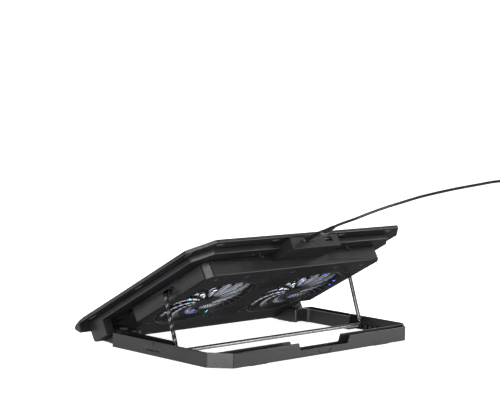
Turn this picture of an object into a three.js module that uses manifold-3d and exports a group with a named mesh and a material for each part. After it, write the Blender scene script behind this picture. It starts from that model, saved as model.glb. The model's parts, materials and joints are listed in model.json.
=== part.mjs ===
// Laptop cooling pad with a folding base frame, a wire bail, two fans and a USB lead.
// Millimetres, +Z up, +Y towards the back. The origin is under the middle of the pad, on the table.
import * as THREE from 'three';
import { mergeVertices } from 'three/addons/utils/BufferGeometryUtils.js';
import Module from 'manifold-3d';

const wasm = await Module();
wasm.setup();

// ---- Driving dimensions ----
const GAP = 0.3; // between pieces that touch
const TILT = THREE.MathUtils.degToRad(30.23); // deck angle in use

// Base frame, a U-shaped channel open at the top
const BASE_HALF = 172.5;
const BACK_Y = 114.3; // outer face of the back rail
const RAIL_FRONT_Y = BACK_Y - 174.6;
const BASE_BOTTOM = 1.2;
const BASE_TOP = 18;
const BASE_WALL = 2.2;
const RAIL_INNER_X = 152; // inner face of a side rail
const BACK_INNER_Y = BACK_Y - 15.7; // inner face of the back rail
const BASE_CHAMFER = 21.4;
const NOTCH_TOP_HALF = 45.2; // finger notch in the back rail
const NOTCH_FLOOR_HALF = 42.6;
const NOTCH_FLOOR_Z = 9.4;
const TOOTH_PITCH = 8.3;
const TOOTH_COUNT = 7;
const TOOTH_INNER_X = 166;

// Hinge of the deck, at the front of the base
const HINGE_Y = BACK_Y - 207.5;
const HINGE_Z = 13.1;
const KNUCKLE_IN_X = 134.7;
const KNUCKLE_OUT_X = 157.4;
const PIN_R = 2.5;
const PIN_BORE_R = 2.8;

// Tray, measured from the hinge: y along the deck, z square to it
const TUB_HALF = 151.4;
const TUB_FRONT_HALF = 133.9; // narrower where the base's knuckles fold in
const TUB_FRONT = -2.1;
const TUB_SHOULDER = 51.8;
const TUB_BACK = 186;
const TUB_BOTTOM = -10.8;
const TUB_TOP = 7.76;
const TUB_CHAMFER = 8;
const TUB_WALL = 2.2;
const RIM_HALF = 171.2;
const RIM_BACK = 204.9;
const RIM_BOTTOM = 8.06;
const RIM_TOP = 14.5;
const RIM_CHAMFER = 20.6;
const PLATE_HALF = 185;
const PLATE_BACK = 221.5;
const PLATE_BOTTOM = 14.8;
const PLATE_TOP = 18.8;
const PLATE_CHAMFER = 27.1;
const MESH_HALF = 148;
const MESH_FRONT = 38;
const MESH_BACK = 192;

// Fans
const FAN_X = 77.4;
const FAN_Y = 94.6;
const FAN_BORE_R = 60;
const FAN_OUTER_R = 62.6;
const BLADE_TIP_R = 58.2;
const HUB_R = 17;
const BLADE_COUNT = 11;
const BLADE_Z = -6.5; // close above the grille
const BLADE_LEAN = 5; // rise from the leading edge, for each radian of the blade's width
const LUG_RING_R = 66; // from the hub to each of a fan's four lugs
const LUG_R = 5.4;
const GRILLE_HOLE_R = 62;
const VENT_PITCH = 8.4; // slots between the fans
const VENT_HALF = 1.6;
const LAMP_R = 45; // from the hub to each of a fan's lamps
const LAMPS = { right: [44, 64], left: [46, 24] }; // and their bearings, in degrees
const FAN_BOTTOM = -8.3;
const FAN_TOP = 5.8;

// USB block under the back edge of the deck
const BLOCK_HALF = 41.4;
const BLOCK_FRONT = TUB_BACK + GAP;
const BLOCK_BACK = 221;
const BLOCK_BOTTOM = -0.4;
const PORT_RIGHT_X = 13;
const PORT_LEFT_X = -23.6;
const PORT_Z = 8.8;
const PORT_W = 14.4;
const PORT_H = 6.9;

// Wire bail
const BAIL_PIVOT = [121, -1.1]; // y and z from the hinge
const BAIL_ARM = 68;
const BAIL_R = 2.5;
const BAIL_LEG_X = 160.5;
const BAIL_REST_Z = 9; // height of the cross bar above the table
const BAIL_BEND_R = 7;
const BEND_STEPS = 5;

// Flip-up stops for the laptop's front edge
const STOP_X = 95;
const STOP_HALF = 21;
const STOP_Y = 5;
const STOP_Z = 16.6;
const STOP_HEIGHT = 19;

// USB lead
const CORD_R = 1.75;
const PLUG_GRIP = 28; // from the port's mouth to the end of the plug's grip
const PLUG_LENGTH = 42; // and to the end of its strain relief
const PLUG_DROOP = 3; // degrees that the lead's weight pulls the near plug's grip down
const PLUG_SWING = 2; // and that its run to one side turns it
const COIL_X = -249; // centre of the spare length's coil
const COIL_Y = 215;
const COIL_R = 19.25; // at the middle of its turns
const COIL_TOP = 12.9;
const FAR_PLUG_Z = 4.7;

// ---- Materials ----
const finish = (color, roughness, metalness) =>
  new THREE.MeshStandardMaterial({ color, roughness, metalness });
const charcoal = () => finish(0x34353a, 0.55, 0);
const darkPlastic = () => finish(0x1e1f22, 0.5, 0);
const blackRubber = () => finish(0x121212, 0.85, 0);
const steel = () => finish(0xb8babd, 0.25, 1);
const blackMetal = () => finish(0x1a1b1d, 0.45, 0.8);
const bladePlastic = () => finish(0xaab4c6, 0.3, 0);
const boardGreen = () => finish(0x1f4a33, 0.6, 0);
const copper = () => finish(0xb06a3a, 0.4, 0.9);
const ledLens = () => finish(0xdde8ff, 0.2, 0);

// ---- Solids ----
function solid(geometry) {
  const bare = geometry.index ? geometry.toNonIndexed() : geometry.clone();
  bare.deleteAttribute('normal');
  bare.deleteAttribute('uv');
  const merged = mergeVertices(bare, 1e-4);
  const points = merged.attributes.position.array;
  return new wasm.Manifold(new wasm.Mesh({
    numProp: 3,
    vertProperties: new Float32Array(points),
    triVerts: new Uint32Array(merged.index.array),
  }));
}

function toGeometry(body) {
  const made = body.getMesh();
  const geometry = new THREE.BufferGeometry();
  geometry.setAttribute('position', new THREE.BufferAttribute(made.vertProperties, 3));
  geometry.setIndex(new THREE.BufferAttribute(made.triVerts, 1));
  geometry.computeVertexNormals();
  return geometry;
}

function box(x0, x1, y0, y1, z0, z1) {
  const geometry = new THREE.BoxGeometry(x1 - x0, y1 - y0, z1 - z0);
  return solid(geometry.translate((x0 + x1) / 2, (y0 + y1) / 2, (z0 + z1) / 2));
}

function outline(points) {
  return new THREE.Shape(points.map(([x, y]) => new THREE.Vector2(x, y)));
}

// A plan outline raised from z0 to z1
function raised(shape, z0, z1, curveSegments = 6) {
  const options = { depth: z1 - z0, bevelEnabled: false, curveSegments };
  return solid(new THREE.ExtrudeGeometry(shape, options).translate(0, 0, z0));
}

// A side outline, given as y and z, drawn out from x0 to x1
function drawnAlongX(shape, x0, x1, curveSegments = 8) {
  const options = { depth: x1 - x0, bevelEnabled: false, curveSegments };
  const geometry = new THREE.ExtrudeGeometry(shape, options);
  geometry.applyMatrix4(new THREE.Matrix4().set(0, 0, 1, x0, 1, 0, 0, 0, 0, 1, 0, 0, 0, 0, 0, 1));
  return solid(geometry);
}

function roundAlongX(r, x0, x1, y, z, sides = 24) {
  const geometry = new THREE.CylinderGeometry(r, r, x1 - x0, sides).rotateZ(Math.PI / 2);
  return solid(geometry.translate((x0 + x1) / 2, y, z));
}

function roundAlongZ(r, z0, z1, x, y, sides = 32) {
  const geometry = new THREE.CylinderGeometry(r, r, z1 - z0, sides).rotateX(Math.PI / 2);
  return solid(geometry.translate(x, y, (z0 + z1) / 2));
}

// A ring about the Z axis at x, y
function ring(inner, outer, z0, z1, x, y, sides = 32) {
  const profile = [[inner, z0], [outer, z0], [outer, z1], [inner, z1], [inner, z0]];
  const points = profile.map(([r, z]) => new THREE.Vector2(r, z));
  const geometry = new THREE.LatheGeometry(points, sides).rotateX(Math.PI / 2);
  const body = solid(geometry);
  return body.translate([x, y, 0]);
}

// A round tube along a smooth curve through the route's points
function tube(route, steps, radius) {
  const points = route.map(([x, y, z]) => new THREE.Vector3(x, y, z));
  const path = new THREE.CatmullRomCurve3(points, false, 'centripetal');
  const section = new THREE.Shape().absarc(0, 0, radius, 0, Math.PI * 2, false);
  const options = { steps, extrudePath: path, curveSegments: 4, bevelEnabled: false };
  return solid(new THREE.ExtrudeGeometry(section, options));
}

const join = (first, ...rest) => rest.reduce((body, next) => body.add(next), first);
const cut = (first, ...rest) => rest.reduce((body, next) => body.subtract(next), first);
const mirrored = (body) => body.mirror([1, 0, 0]);

function piece(group, name, body, material) {
  const mesh = new THREE.Mesh(toGeometry(body), material);
  mesh.name = name;
  group.add(mesh);
  return mesh;
}

function bothSides(group, name, body, material) {
  piece(group, `${name}_right`, body, material());
  piece(group, `${name}_left`, mirrored(body), material());
}

// ---- Plan outlines with cut corners at the back ----
function backCutOutline(half, front, back, chamfer) {
  return outline([
    [-half, front], [half, front], [half, back - chamfer], [half - chamfer, back],
    [-half + chamfer, back], [-half, back - chamfer],
  ]);
}

// ---- Base ----
function railOutline(half, inner, front, back, backInner, chamfer) {
  return outline([
    [-half, front], [-inner, front], [-inner, backInner], [inner, backInner], [inner, front],
    [half, front], [half, back - chamfer], [half - chamfer, back],
    [-half + chamfer, back], [-half, back - chamfer],
  ]);
}

function knuckle() {
  const side = new THREE.Shape();
  const nose = 6.5;
  const back = BACK_Y - 169;
  side.moveTo(back, BASE_BOTTOM);
  side.lineTo(back, BASE_TOP);
  side.lineTo(HINGE_Y, BASE_TOP);
  side.absarc(HINGE_Y, BASE_TOP - nose, nose, Math.PI / 2, Math.PI, false);
  side.lineTo(HINGE_Y - nose, BASE_BOTTOM + 5);
  side.lineTo(HINGE_Y - nose + 4, BASE_BOTTOM);
  side.closePath();
  const body = drawnAlongX(side, KNUCKLE_IN_X, KNUCKLE_OUT_X);
  const frontRib = roundAlongZ(2.8, BASE_BOTTOM, BASE_TOP, KNUCKLE_IN_X + 2.8, back, 16);
  const backRib = roundAlongZ(2.8, BASE_BOTTOM, BASE_TOP, RAIL_INNER_X, back + 8.8, 16);
  const web = box(RAIL_INNER_X - 2.4, RAIL_INNER_X + 1, back - 2, back + 9, BASE_BOTTOM, BASE_TOP);
  return join(body, frontRib, backRib, web);
}

function teeth() {
  const first = BACK_Y - 88;
  const strip = [];
  for (let i = 0; i < TOOTH_COUNT; i += 1) {
    const y = first + i * TOOTH_PITCH;
    const tooth = outline([[y, 2], [y + 1.6, 8.4], [y + 4.4, 8.4], [y + 6.4, 2]]);
    strip.push(drawnAlongX(tooth, TOOTH_INNER_X, BASE_HALF - 1));
  }
  return join(...strip);
}

function notchCutter() {
  const shape = new THREE.Shape();
  const r = 3;
  shape.moveTo(-NOTCH_TOP_HALF, BASE_TOP + 1);
  shape.lineTo(-NOTCH_FLOOR_HALF, NOTCH_FLOOR_Z + r);
  shape.quadraticCurveTo(-NOTCH_FLOOR_HALF, NOTCH_FLOOR_Z, -NOTCH_FLOOR_HALF + r, NOTCH_FLOOR_Z);
  shape.lineTo(NOTCH_FLOOR_HALF - r, NOTCH_FLOOR_Z);
  shape.quadraticCurveTo(NOTCH_FLOOR_HALF, NOTCH_FLOOR_Z, NOTCH_FLOOR_HALF, NOTCH_FLOOR_Z + r);
  shape.lineTo(NOTCH_TOP_HALF, BASE_TOP + 1);
  shape.closePath();
  const options = { depth: 20, bevelEnabled: false, curveSegments: 4 };
  const geometry = new THREE.ExtrudeGeometry(shape, options).rotateX(Math.PI / 2);
  return solid(geometry.translate(0, BACK_Y + 2, 0));
}

function baseFrame() {
  const w = BASE_WALL;
  const outer = railOutline(
    BASE_HALF, RAIL_INNER_X, RAIL_FRONT_Y, BACK_Y, BACK_INNER_Y, BASE_CHAMFER,
  );
  const innerChamfer = BASE_CHAMFER - w * (2 - Math.SQRT2);
  const channel = railOutline(
    BASE_HALF - w, RAIL_INNER_X + w, RAIL_FRONT_Y + w, BACK_Y - w, BACK_INNER_Y + w, innerChamfer,
  );
  const hollow = raised(channel, BASE_BOTTOM + w, BASE_TOP + 1);
  const barFront = BACK_Y - 91;
  const barWay = box(RAIL_INNER_X - 1, TOOTH_INNER_X - GAP, barFront, BACK_INNER_Y, 0, BASE_TOP + 1);
  const slitY = BACK_Y - 106;
  const slit = box(BASE_HALF - 3, BASE_HALF + 1, slitY - 0.6, slitY + 0.6, 12.8, BASE_TOP + 1);
  const bore = roundAlongX(PIN_BORE_R, KNUCKLE_IN_X + 3, KNUCKLE_OUT_X + 1, HINGE_Y, HINGE_Z);
  let body = cut(raised(outer, BASE_BOTTOM, BASE_TOP), hollow, barWay, mirrored(barWay));
  // The back rail's inner wall runs on to the cut corners.
  const wallEnd = BASE_HALF - BASE_CHAMFER + 15.7 - 2;
  const backWall = box(RAIL_INNER_X - 4, wallEnd, BACK_INNER_Y, BACK_INNER_Y + w, BASE_BOTTOM, BASE_TOP);
  body = join(body, backWall, mirrored(backWall), teeth(), mirrored(teeth()));
  body = join(body, knuckle(), mirrored(knuckle()));
  return cut(body, notchCutter(), slit, mirrored(slit), bore, mirrored(bore));
}

function buildBase() {
  const group = new THREE.Group();
  piece(group, 'base_frame', baseFrame(), charcoal());
  const footTop = BASE_BOTTOM - GAP;
  const backFoot = box(94, 122, BACK_Y - 12.5, BACK_Y - 2.5, 0, footTop);
  bothSides(group, 'base_foot_back', backFoot, blackRubber);
  const frontFoot = box(138, 155, BACK_Y - 200, BACK_Y - 176, 0, footTop);
  bothSides(group, 'base_foot_front', frontFoot, blackRubber);
  const restTop = BASE_TOP + 2.3;
  const frontRest = roundAlongZ(5, BASE_TOP + GAP, restTop, 149, BACK_Y - 182, 20);
  bothSides(group, 'base_rest_front', frontRest, blackRubber);
  const pin = roundAlongX(PIN_R, KNUCKLE_IN_X + 3 + GAP, RIM_HALF - 3 - GAP, HINGE_Y, HINGE_Z);
  bothSides(group, 'hinge_pin', pin, steel);
  return group;
}

// ---- Tray housing ----
function tubOutline(inset) {
  const half = TUB_HALF - inset;
  const frontHalf = TUB_FRONT_HALF - inset;
  const shoulder = TUB_SHOULDER + inset;
  const back = TUB_BACK - inset;
  const chamfer = TUB_CHAMFER - inset * (2 - Math.SQRT2);
  return outline([
    [-frontHalf, TUB_FRONT + inset], [frontHalf, TUB_FRONT + inset], [frontHalf, shoulder],
    [half, shoulder], [half, back - chamfer], [half - chamfer, back],
    [-half + chamfer, back], [-half, back - chamfer], [-half, shoulder], [-frontHalf, shoulder],
  ]);
}

const TUB_SCREWS = [[127.5, 172.3], [78.2, 172.3], [0, 172.3], [-78.2, 172.3], [-127.5, 172.3],
  [92, 6.5], [-92, 6.5]];
const SCREW_R = 2.6;

// The four lugs of a fan whose hub is at x, y
function lugPlaces(x, y) {
  return [45, 135, 225, 315].map((degrees) => {
    const a = THREE.MathUtils.degToRad(degrees);
    return [x + LUG_RING_R * Math.cos(a), y + LUG_RING_R * Math.sin(a)];
  });
}

// Slots through the housing's floor, in the two gaps that the round grilles leave between them
function ventSlots() {
  const slots = [];
  for (let i = -2.5; i <= 2.5; i += 1) {
    const x = i * VENT_PITCH;
    const near = Math.abs(x) > 2 * VENT_PITCH ? 36.5 : 29;
    for (const side of [-1, 1]) {
      const [y0, y1] = [FAN_Y + side * near, FAN_Y + side * 58].sort((p, q) => p - q);
      slots.push(box(x - VENT_HALF, x + VENT_HALF, y0, y1, TUB_BOTTOM - 1, TUB_BOTTOM + TUB_WALL + 1));
    }
  }
  return slots;
}

function lowerHousing() {
  const floor = TUB_BOTTOM + TUB_WALL;
  const hollow = raised(tubOutline(TUB_WALL), floor, TUB_TOP + 1);
  let body = cut(raised(tubOutline(0), TUB_BOTTOM, TUB_TOP), hollow);
  for (const x of [-FAN_X, FAN_X]) {
    body = cut(body, roundAlongZ(GRILLE_HOLE_R, TUB_BOTTOM - 1, floor + 1, x, FAN_Y, 48));
    for (const [lugX, lugY] of lugPlaces(x, FAN_Y)) {
      body = cut(body, roundAlongZ(LUG_R + 0.9, TUB_BOTTOM - 1, floor + 1, lugX, lugY, 14));
    }
  }
  body = cut(body, ...ventSlots());
  for (const [x, y] of TUB_SCREWS) {
    const post = roundAlongZ(SCREW_R + 2, floor - 0.5, TUB_TOP - 2, x, y, 14);
    body = cut(join(body, post), roundAlongZ(SCREW_R + GAP, TUB_BOTTOM - 1, -1, x, y, 12));
  }
  const [pivotY, pivotZ] = BAIL_PIVOT;
  const bore = roundAlongX(4.8, TUB_HALF - 4, TUB_HALF + 1, pivotY, pivotZ, 20);
  const window = box(-BLOCK_HALF + 6, BLOCK_HALF - 6, TUB_BACK - 4, TUB_BACK + 1, 2, TUB_TOP + 1);
  return cut(body, bore, mirrored(bore), window);
}

function cornerBlock() {
  const side = new THREE.Shape();
  side.moveTo(18.9, TUB_BOTTOM);
  side.lineTo(18.9, RIM_BOTTOM + 1);
  side.lineTo(-6.5, RIM_BOTTOM + 1);
  side.lineTo(-6.5, TUB_BOTTOM + 5);
  side.quadraticCurveTo(-6.5, TUB_BOTTOM, -1.5, TUB_BOTTOM);
  side.closePath();
  const body = drawnAlongX(side, 157.9, RIM_HALF, 4);
  return cut(body, roundAlongX(PIN_BORE_R, 156, RIM_HALF - 3, 0, 0));
}

function rim() {
  const front = -6.5;
  const outer = backCutOutline(RIM_HALF, front, RIM_BACK, RIM_CHAMFER);
  const inner = backCutOutline(145, 14, 180, 12);
  const blockWay = box(-BLOCK_HALF - GAP, BLOCK_HALF + GAP, TUB_BACK, RIM_BACK + 1, 0, RIM_TOP + 1);
  const slotWay = (x) => box(x - 1.1, x + 1.1, 190, RIM_BACK - 2.5, RIM_BOTTOM - 1, RIM_BOTTOM + 4);
  let body = cut(raised(outer, RIM_BOTTOM, RIM_TOP), raised(inner, RIM_BOTTOM - 1, RIM_TOP + 1));
  body = cut(body, blockWay, slotWay(76), slotWay(-76));
  return join(body, cornerBlock(), mirrored(cornerBlock()));
}

function noseSide() {
  const side = new THREE.Shape();
  const back = -6.5 - GAP;
  side.moveTo(8, PLATE_BOTTOM);
  side.lineTo(8, PLATE_TOP);
  side.lineTo(-1, PLATE_TOP);
  side.quadraticCurveTo(-6.5, PLATE_TOP - 0.6, -13.9, 15.6);
  side.quadraticCurveTo(-16.4, 14.4, -16.2, 10.9);
  side.lineTo(-9.8, 4.4);
  side.lineTo(back, 4.4);
  side.lineTo(back, PLATE_BOTTOM);
  side.closePath();
  return side;
}

function ovalSlot(x, y, halfLength, halfWidth, alongY) {
  const shape = new THREE.Shape();
  const rx = alongY ? halfWidth : halfLength;
  const ry = alongY ? halfLength : halfWidth;
  shape.absellipse(x, y, rx, ry, 0, Math.PI * 2, false, 0);
  return raised(shape, PLATE_BOTTOM - 1, PLATE_BOTTOM + 1.4, 5);
}

function deckFrame() {
  const plate = raised(backCutOutline(PLATE_HALF, 5, PLATE_BACK, PLATE_CHAMFER), PLATE_BOTTOM, PLATE_TOP);
  const nose = drawnAlongX(noseSide(), -PLATE_HALF, PLATE_HALF, 5);
  const opening = box(-MESH_HALF, MESH_HALF, MESH_FRONT, MESH_BACK, PLATE_BOTTOM - 1, PLATE_TOP + 1);
  let body = cut(join(plate, nose), opening);
  for (const side of [-1, 1]) {
    const x = side * STOP_X;
    const pocket = box(x - STOP_HALF - GAP, x + STOP_HALF + GAP, STOP_Y - 2.4, STOP_Y + STOP_HEIGHT + 2,
      PLATE_BOTTOM - 1, PLATE_TOP + 1);
    const hinge = roundAlongX(1.4, x - STOP_HALF - 5, x + STOP_HALF + 5, STOP_Y, STOP_Z, 12);
    body = cut(body, pocket, hinge);
    for (const y of [3.7, 91.8, 183.2]) body = cut(body, ovalSlot(side * 177.4, y + 8, 7, 2, true));
    for (const across of [58, 147.5]) body = cut(body, ovalSlot(side * across, 214.5, 6, 1.8, false));
    body = cut(body, stripPocket(side));
  }
  return body;
}

function stripPocket(side) {
  const x = side * 166.5;
  return box(x - 5.3, x + 5.3, 39.7, 190.3, PLATE_TOP - 1.2, PLATE_TOP + 1);
}

function buildPlates(tray) {
  piece(tray, 'lower_housing', lowerHousing(), charcoal());
  piece(tray, 'upper_rim', rim(), charcoal());
  piece(tray, 'deck_frame', deckFrame(), charcoal());
  const meshTop = PLATE_BOTTOM + 1.6;
  const half = MESH_HALF - GAP;
  const panel = box(-half, half, MESH_FRONT + GAP, MESH_BACK - GAP, PLATE_BOTTOM, meshTop);
  piece(tray, 'deck_mesh_panel', panel, blackMetal());
  const strip = box(161.5, 171.5, 40, 190, PLATE_TOP - 1.2 + GAP, PLATE_TOP + 1);
  bothSides(tray, 'deck_grip_strip', strip, blackRubber);
}

function buildScrews(tray) {
  TUB_SCREWS.forEach(([x, y], i) => {
    const head = roundAlongZ(SCREW_R, TUB_BOTTOM + 2.6, TUB_BOTTOM + 4.4, x, y, 12);
    const shank = roundAlongZ(1.4, TUB_BOTTOM + 3, -1 - GAP, x, y, 10);
    piece(tray, `housing_screw_${i + 1}`, join(head, shank), steel());
  });
}

// ---- Fans ----
function fanGuard(lamps) {
  const low = TUB_BOTTOM;
  const high = TUB_BOTTOM + 1.8;
  const outer = GRILLE_HOLE_R - GAP;
  let body = join(
    roundAlongZ(HUB_R - 1, low, high, 0, 0, 20),
    ring(outer - 3.2, outer, low, high, 0, 0, 40),
  );
  const spokes = 9;
  for (let i = 0; i < spokes; i += 1) {
    const bar = box(HUB_R - 3, outer - 1.5, -0.8, 0.8, low, high).translate([0, 6, 0]);
    body = join(body, bar.rotate([0, 0, (i * 360) / spokes]));
  }
  for (const [x, y] of lugPlaces(0, 0)) {
    const boss = roundAlongZ(LUG_R + 0.6, low, high, x, y, 14);
    body = cut(join(body, boss), roundAlongZ(3.3, low - 1, high + 1, x, y, 10));
  }
  for (const degrees of lamps) {
    const bezel = box(LAMP_R - 2.9, LAMP_R + 2.9, -3.9, 3.9, low, high);
    const bar = box(LAMP_R + 2, outer - 1.5, -0.8, 0.8, low, high);
    const hole = box(LAMP_R - 1.8, LAMP_R + 1.8, -2.8, 2.8, low - 1, high + 1);
    body = cut(join(body, join(bezel, bar).rotate([0, 0, degrees])), hole.rotate([0, 0, degrees]));
  }
  return body;
}

function fanFrame() {
  let body = ring(FAN_BORE_R, FAN_OUTER_R, FAN_BOTTOM, FAN_TOP, 0, 0, 40);
  body = join(body, roundAlongZ(HUB_R - 1, FAN_TOP - 2, FAN_TOP, 0, 0, 20));
  for (let i = 0; i < 4; i += 1) {
    const arm = box(HUB_R - 3, FAN_BORE_R + 1.2, -2, 2, FAN_TOP - 2, FAN_TOP).rotate([0, 0, 20 + i * 90]);
    body = join(body, arm);
  }
  for (const [x, y] of lugPlaces(0, 0)) {
    const away = Math.atan2(y, x);
    const lug = roundAlongZ(LUG_R, FAN_BOTTOM, FAN_BOTTOM + 4, x, y, 12);
    const neck = box(FAN_BORE_R + 1, LUG_RING_R, -LUG_R, LUG_R, FAN_BOTTOM, FAN_BOTTOM + 4);
    body = join(body, lug, neck.rotate([0, 0, THREE.MathUtils.radToDeg(away)]));
    body = cut(body, roundAlongZ(1.8, FAN_BOTTOM - 1, FAN_BOTTOM + 5, x, y, 8));
  }
  return cut(body, roundAlongZ(1.8, 0, FAN_TOP + 1, 0, 0, 12));
}

function fanScrew(x, y) {
  const head = roundAlongZ(2.9, TUB_BOTTOM + 0.4, FAN_BOTTOM - GAP, x, y, 10);
  return join(head, roundAlongZ(1.4, FAN_BOTTOM - 1, FAN_BOTTOM + 5.5, x, y, 6));
}

function fanBlade() {
  // A scimitar blade: its middle line sweeps back as it goes out.
  const steps = 7;
  const sweep = THREE.MathUtils.degToRad(-42);
  const edge = (lead) => Array.from({ length: steps + 1 }, (_, i) => {
    const t = i / steps;
    const r = HUB_R - 1 + t * (BLADE_TIP_R - HUB_R + 1);
    const spread = THREE.MathUtils.degToRad(10.5 + 2 * t) * (lead ? 1 : -1);
    const a = sweep * t * t + spread * (1 - 0.25 * t);
    return [r * Math.cos(a), r * Math.sin(a)];
  });
  const points = [...edge(false), ...edge(true).reverse()];
  const flat = raised(outline(points), 0, 1.3, 1);
  // The blade leans, so its leading edge stands lower than its trailing edge.
  return flat.rotate([0, 0, 12]).warp((p) => {
    const t = (Math.hypot(p[0], p[1]) - HUB_R) / (BLADE_TIP_R - HUB_R);
    const angle = Math.atan2(p[1], p[0]) - sweep * t * t;
    p[2] += BLADE_Z + BLADE_LEAN * Math.max(-0.42, Math.min(0.42, 0.2 - angle));
  });
}

function fanRotor() {
  const low = FAN_BOTTOM + 0.6;
  const cup = cut(roundAlongZ(HUB_R, low, 3.2, 0, 0, 28), roundAlongZ(HUB_R - 2, low + 2, 4, 0, 0, 24));
  let body = join(cup, roundAlongZ(1.5, low + 1, FAN_TOP - 0.6, 0, 0, 10));
  for (let i = 0; i < BLADE_COUNT; i += 1) {
    const turned = fanBlade().rotate([0, 0, (i * 360) / BLADE_COUNT]);
    body = join(body, cut(turned, roundAlongZ(HUB_R - 1.2, -12, 8, 0, 0, 24)));
  }
  return body;
}

function fanMotor() {
  const coil = roundAlongZ(HUB_R - 3, FAN_BOTTOM + 3.2, FAN_TOP - 2 - GAP, 0, 0, 20);
  return cut(coil, roundAlongZ(2, FAN_BOTTOM, FAN_TOP, 0, 0, 12));
}

function buildFans(tray) {
  for (const [name, x] of [['right', FAN_X], ['left', -FAN_X]]) {
    const place = new THREE.Group();
    place.position.set(x, FAN_Y, 0);
    tray.add(place);
    piece(place, `fan_guard_${name}`, fanGuard(LAMPS[name]), darkPlastic());
    piece(place, `fan_frame_${name}`, fanFrame(), darkPlastic());
    piece(place, `fan_rotor_${name}`, fanRotor(), bladePlastic());
    piece(place, `fan_motor_${name}`, fanMotor(), copper());
    LAMPS[name].forEach((degrees, i) => {
      const lamp = box(LAMP_R - 1.5, LAMP_R + 1.5, -2.5, 2.5, TUB_BOTTOM + 0.2, TUB_BOTTOM + 2.2);
      piece(place, `fan_led_${name}_${'ab'[i]}`, lamp.rotate([0, 0, degrees]), ledLens());
    });
    lugPlaces(0, 0).forEach(([lugX, lugY], i) => {
      piece(place, `fan_screw_${name}_${i + 1}`, fanScrew(lugX, lugY), steel());
    });
    piece(tray, `fan_lead_${name}`, fanLead(Math.sign(x)), blackRubber());
  }
}

// The lead from a fan's rim, through the housing's back wall, to the circuit board
function fanLead(side) {
  const route = [
    [34, 143.5, 1], [29, 148, 2.5], [26, 155, 4.8], [24, 164, 6.2], [22, 175, 6.5], [20, 188, 6.5],
    [19, 197, 6.5],
  ];
  const body = tube(route, 9, 1);
  return side > 0 ? body : mirrored(body);
}

// ---- USB block ----
function usbBlock() {
  const wall = 2;
  const body = cut(
    box(-BLOCK_HALF, BLOCK_HALF, BLOCK_FRONT, BLOCK_BACK, BLOCK_BOTTOM, RIM_TOP),
    box(-BLOCK_HALF + wall, BLOCK_HALF - wall, BLOCK_FRONT + wall, BLOCK_BACK - wall,
      BLOCK_BOTTOM + wall, RIM_TOP + 1),
    box(-BLOCK_HALF + 6, BLOCK_HALF - 6, BLOCK_FRONT - 1, BLOCK_FRONT + 3, 2, TUB_TOP),
  );
  const window = (x) => box(x - PORT_W / 2 - GAP, x + PORT_W / 2 + GAP, BLOCK_BACK - 4, BLOCK_BACK + 1,
    PORT_Z - PORT_H / 2 - GAP, PORT_Z + PORT_H / 2 + GAP);
  return cut(body, window(PORT_RIGHT_X), window(PORT_LEFT_X));
}

function usbPort() {
  const shell = box(-PORT_W / 2, PORT_W / 2, BLOCK_BACK - 14, BLOCK_BACK - 0.2,
    PORT_Z - PORT_H / 2, PORT_Z + PORT_H / 2);
  const mouth = box(-PORT_W / 2 + 0.6, PORT_W / 2 - 0.6, BLOCK_BACK - 13, BLOCK_BACK + 1,
    PORT_Z - PORT_H / 2 + 0.6, PORT_Z + PORT_H / 2 - 0.6);
  const tongue = box(-5.5, 5.5, BLOCK_BACK - 13.5, BLOCK_BACK - 3, PORT_Z + 0.75, PORT_Z + 2.2);
  return join(cut(shell, mouth), tongue);
}

// A plug with its metal tip towards -Y. Its y is measured from the mouth of the port.
function usbPlug(droop, swing) {
  const halfW = 6;
  const metal = cut(
    box(-halfW, halfW, -11.6, 2.5, -2.25, 2.6),
    box(-halfW + 0.4, halfW - 0.4, -13, -0.5, 0.4, 2.25),
    box(-halfW - 1, halfW + 1, -13, -2, 0.4, 3),
  );
  const grip = box(-6.6, 6.6, 1, PLUG_GRIP, -3, 3);
  const relief = new THREE.CylinderGeometry(2.3, 2.8, PLUG_LENGTH - PLUG_GRIP + 1, 16);
  const moulding = join(grip, solid(relief.translate(0, (PLUG_LENGTH + PLUG_GRIP - 1) / 2, 0)));
  return join(metal, moulding.rotate([-droop, 0, swing]));
}

function buildUsb(tray) {
  piece(tray, 'usb_block', usbBlock(), charcoal());
  for (const [name, x] of [['right', PORT_RIGHT_X], ['left', PORT_LEFT_X]]) {
    piece(tray, `usb_port_${name}`, usbPort().translate([x, 0, 0]), steel());
  }
  const boardTop = PORT_Z - PORT_H / 2 - GAP;
  const board = box(-36, 36, BLOCK_FRONT + 3, BLOCK_BACK - 3, boardTop - 1.6, boardTop);
  piece(tray, 'usb_board', board, boardGreen());
  const plug = usbPlug(PLUG_DROOP, PLUG_SWING).translate([PORT_RIGHT_X, BLOCK_BACK, PORT_Z]);
  piece(tray, 'usb_plug_near', plug, darkPlastic());
}

// ---- Wire bail ----
function bailAngle() {
  const [y, z] = BAIL_PIVOT;
  const height = HINGE_Z + y * Math.sin(TILT) + z * Math.cos(TILT);
  return -Math.asin((height - BAIL_REST_Z) / BAIL_ARM) - TILT;
}

// A wire of straight runs and round bends: a step for each run, and more for each bend
class BentWire extends THREE.Curve {
  constructor(runs) {
    super();
    this.steps = runs.flatMap((run) => {
      const count = run.isLineCurve3 ? 1 : BEND_STEPS;
      return Array.from({ length: count }, (_, i) => ({ run, from: i / count, to: (i + 1) / count }));
    });
  }

  getPoint(t, target = new THREE.Vector3()) {
    const place = Math.min(Math.max(t, 0), 1) * this.steps.length;
    const index = Math.min(Math.floor(place), this.steps.length - 1);
    const { run, from, to } = this.steps[index];
    return target.copy(run.getPoint(from + (to - from) * (place - index)));
  }

  getPointAt(u, target) {
    return this.getPoint(u, target);
  }

  getTangentAt(u, target) {
    return this.getTangent(u, target);
  }
}

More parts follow.
